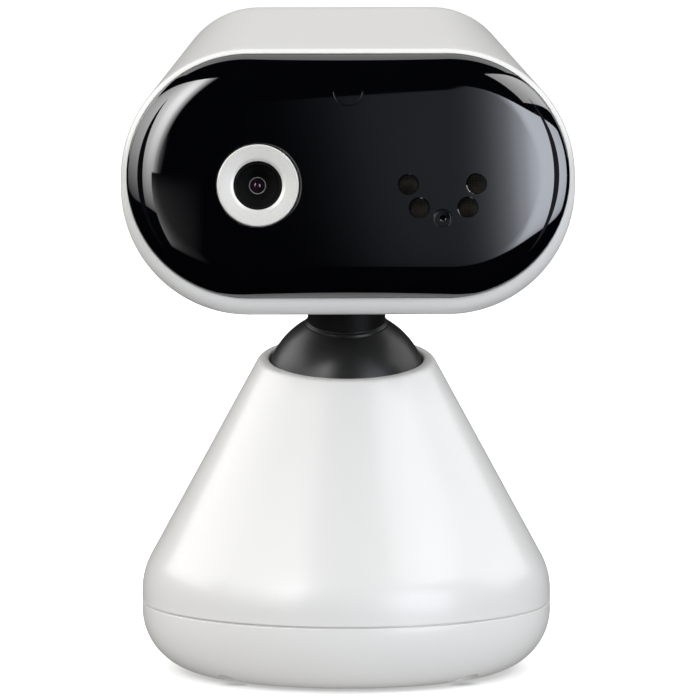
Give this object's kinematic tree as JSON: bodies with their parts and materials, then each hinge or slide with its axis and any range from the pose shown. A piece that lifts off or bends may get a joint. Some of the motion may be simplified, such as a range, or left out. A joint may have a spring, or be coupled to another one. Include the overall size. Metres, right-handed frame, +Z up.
{
  "type": "baby monitor camera",
  "caption": "Wide oval camera head with a black window and side lens on a ball joint over a weighted white cone base.",
  "frame": {"origin": "centre of the round pad under the base, on the surface that the camera stands on", "axes": "+Z up; -Y is the front, where the window faces; +X is to the right seen from the front"},
  "size_m": [0.0782, 0.0706, 0.1136],
  "materials": {
    "shell_gloss_white": "glossy white moulded plastic",
    "pad_rubber": "soft matt black rubber",
    "ballast_steel": "cast iron, zinc washed",
    "screw_steel": "zinc plated steel",
    "seat_black": "low friction black plastic",
    "housing_abs": "unpainted moulded plastic",
    "spring_steel": "bright spring steel",
    "ball_black": "satin black moulded plastic",
    "washer_nylon": "natural nylon",
    "plate_steel": "bright pressed steel",
    "window_black": "polished acrylic, black behind",
    "mask_black": "black printed film",
    "frame_black": "black moulded plastic",
    "ring_silver": "satin silver, turned",
    "lens_black": "matt black, stepped",
    "lens_glass": "coated optical glass",
    "chip_dark": "dark moulded package",
    "board_green": "green circuit board",
    "flex_amber": "amber flexible circuit",
    "lamp_resin": "smoked clear resin",
    "chip_pale": "pale component package",
    "spreader_aluminium": "plain aluminium sheet",
    "speaker_black": "black frame and paper cone",
    "button_white": "satin white plastic"
  },
  "bodies": {
    "base": {"base_shell": "shell_gloss_white", "bottom_cover": "shell_gloss_white", "anti_slip_pad": "pad_rubber", "ballast_weight": "ballast_steel", "ballast_screw": "screw_steel", "base_screws": "screw_steel", "socket_ring": "seat_black", "socket_housing": "housing_abs", "housing_screws": "screw_steel", "cup_spring": "spring_steel"},
    "cup": {"friction_cup": "seat_black"},
    "stem": {"ball_stem": "ball_black", "friction_washer": "washer_nylon", "stem_retainer": "plate_steel", "stem_screw": "screw_steel"},
    "head": {"front_shell": "shell_gloss_white", "rear_shell": "shell_gloss_white", "shell_screws": "screw_steel", "front_window": "window_black", "window_gasket": "pad_rubber", "window_mask": "mask_black", "inner_frame": "frame_black", "frame_screws": "screw_steel", "lens_ring": "ring_silver", "lens_shroud": "lens_black", "lens_barrel": "lens_black", "front_lens": "lens_glass", "rear_lens": "lens_glass", "lens_holder": "frame_black", "infrared_filter": "lens_glass", "image_sensor": "chip_dark", "camera_board": "board_green", "camera_screws": "screw_steel", "camera_flex": "flex_amber", "lamp_board": "board_green", "infrared_lamps": "lamp_resin", "lamp_baffles": "pad_rubber", "microphone": "chip_pale", "microphone_boot": "pad_rubber", "sensor_board": "board_green", "light_sensor": "chip_pale", "status_lamp": "chip_pale", "sensor_baffle": "pad_rubber", "main_board": "board_green", "processor_shield": "plate_steel", "heat_spreader": "spreader_aluminium", "board_screws": "screw_steel", "board_connector": "chip_pale", "antenna": "flex_amber", "speaker": "speaker_black", "speaker_gasket": "pad_rubber", "rear_board": "board_green", "power_inlet": "plate_steel", "inlet_tongue": "frame_black", "button_switches": "frame_black", "temperature_sensor": "chip_dark"},
    "pair_key": {"pair_button": "button_white"},
    "power_key": {"power_button": "button_white"}
  },
  "joints": [
    {"name": "socket_turn", "type": "hinge", "parent": "base", "child": "cup", "pos_m": [0, 0, 0.0485], "axis": [0, -0.1392, 0.9903], "continuous": true},
    {"name": "ball_tilt", "type": "hinge", "parent": "cup", "child": "stem", "pos_m": [0, 0, 0.0485], "axis": [1, 0, 0], "range_deg": [-35, 30]},
    {"name": "head_swivel", "type": "hinge", "parent": "stem", "child": "head", "pos_m": [0, 0, 0.0485], "axis": [0, -0.2164, 0.9763], "range_deg": [-90, 90]},
    {"name": "pair_press", "type": "slide", "parent": "head", "child": "pair_key", "axis": [0, -0.9763, -0.2164], "range_m": [0, 0.0006], "stiffness_N_per_m": 2000, "springref_m": -0.0002},
    {"name": "power_press", "type": "slide", "parent": "head", "child": "power_key", "axis": [0, -0.9763, -0.2164], "range_m": [0, 0.0006], "stiffness_N_per_m": 2000, "springref_m": -0.0002}
  ]
}
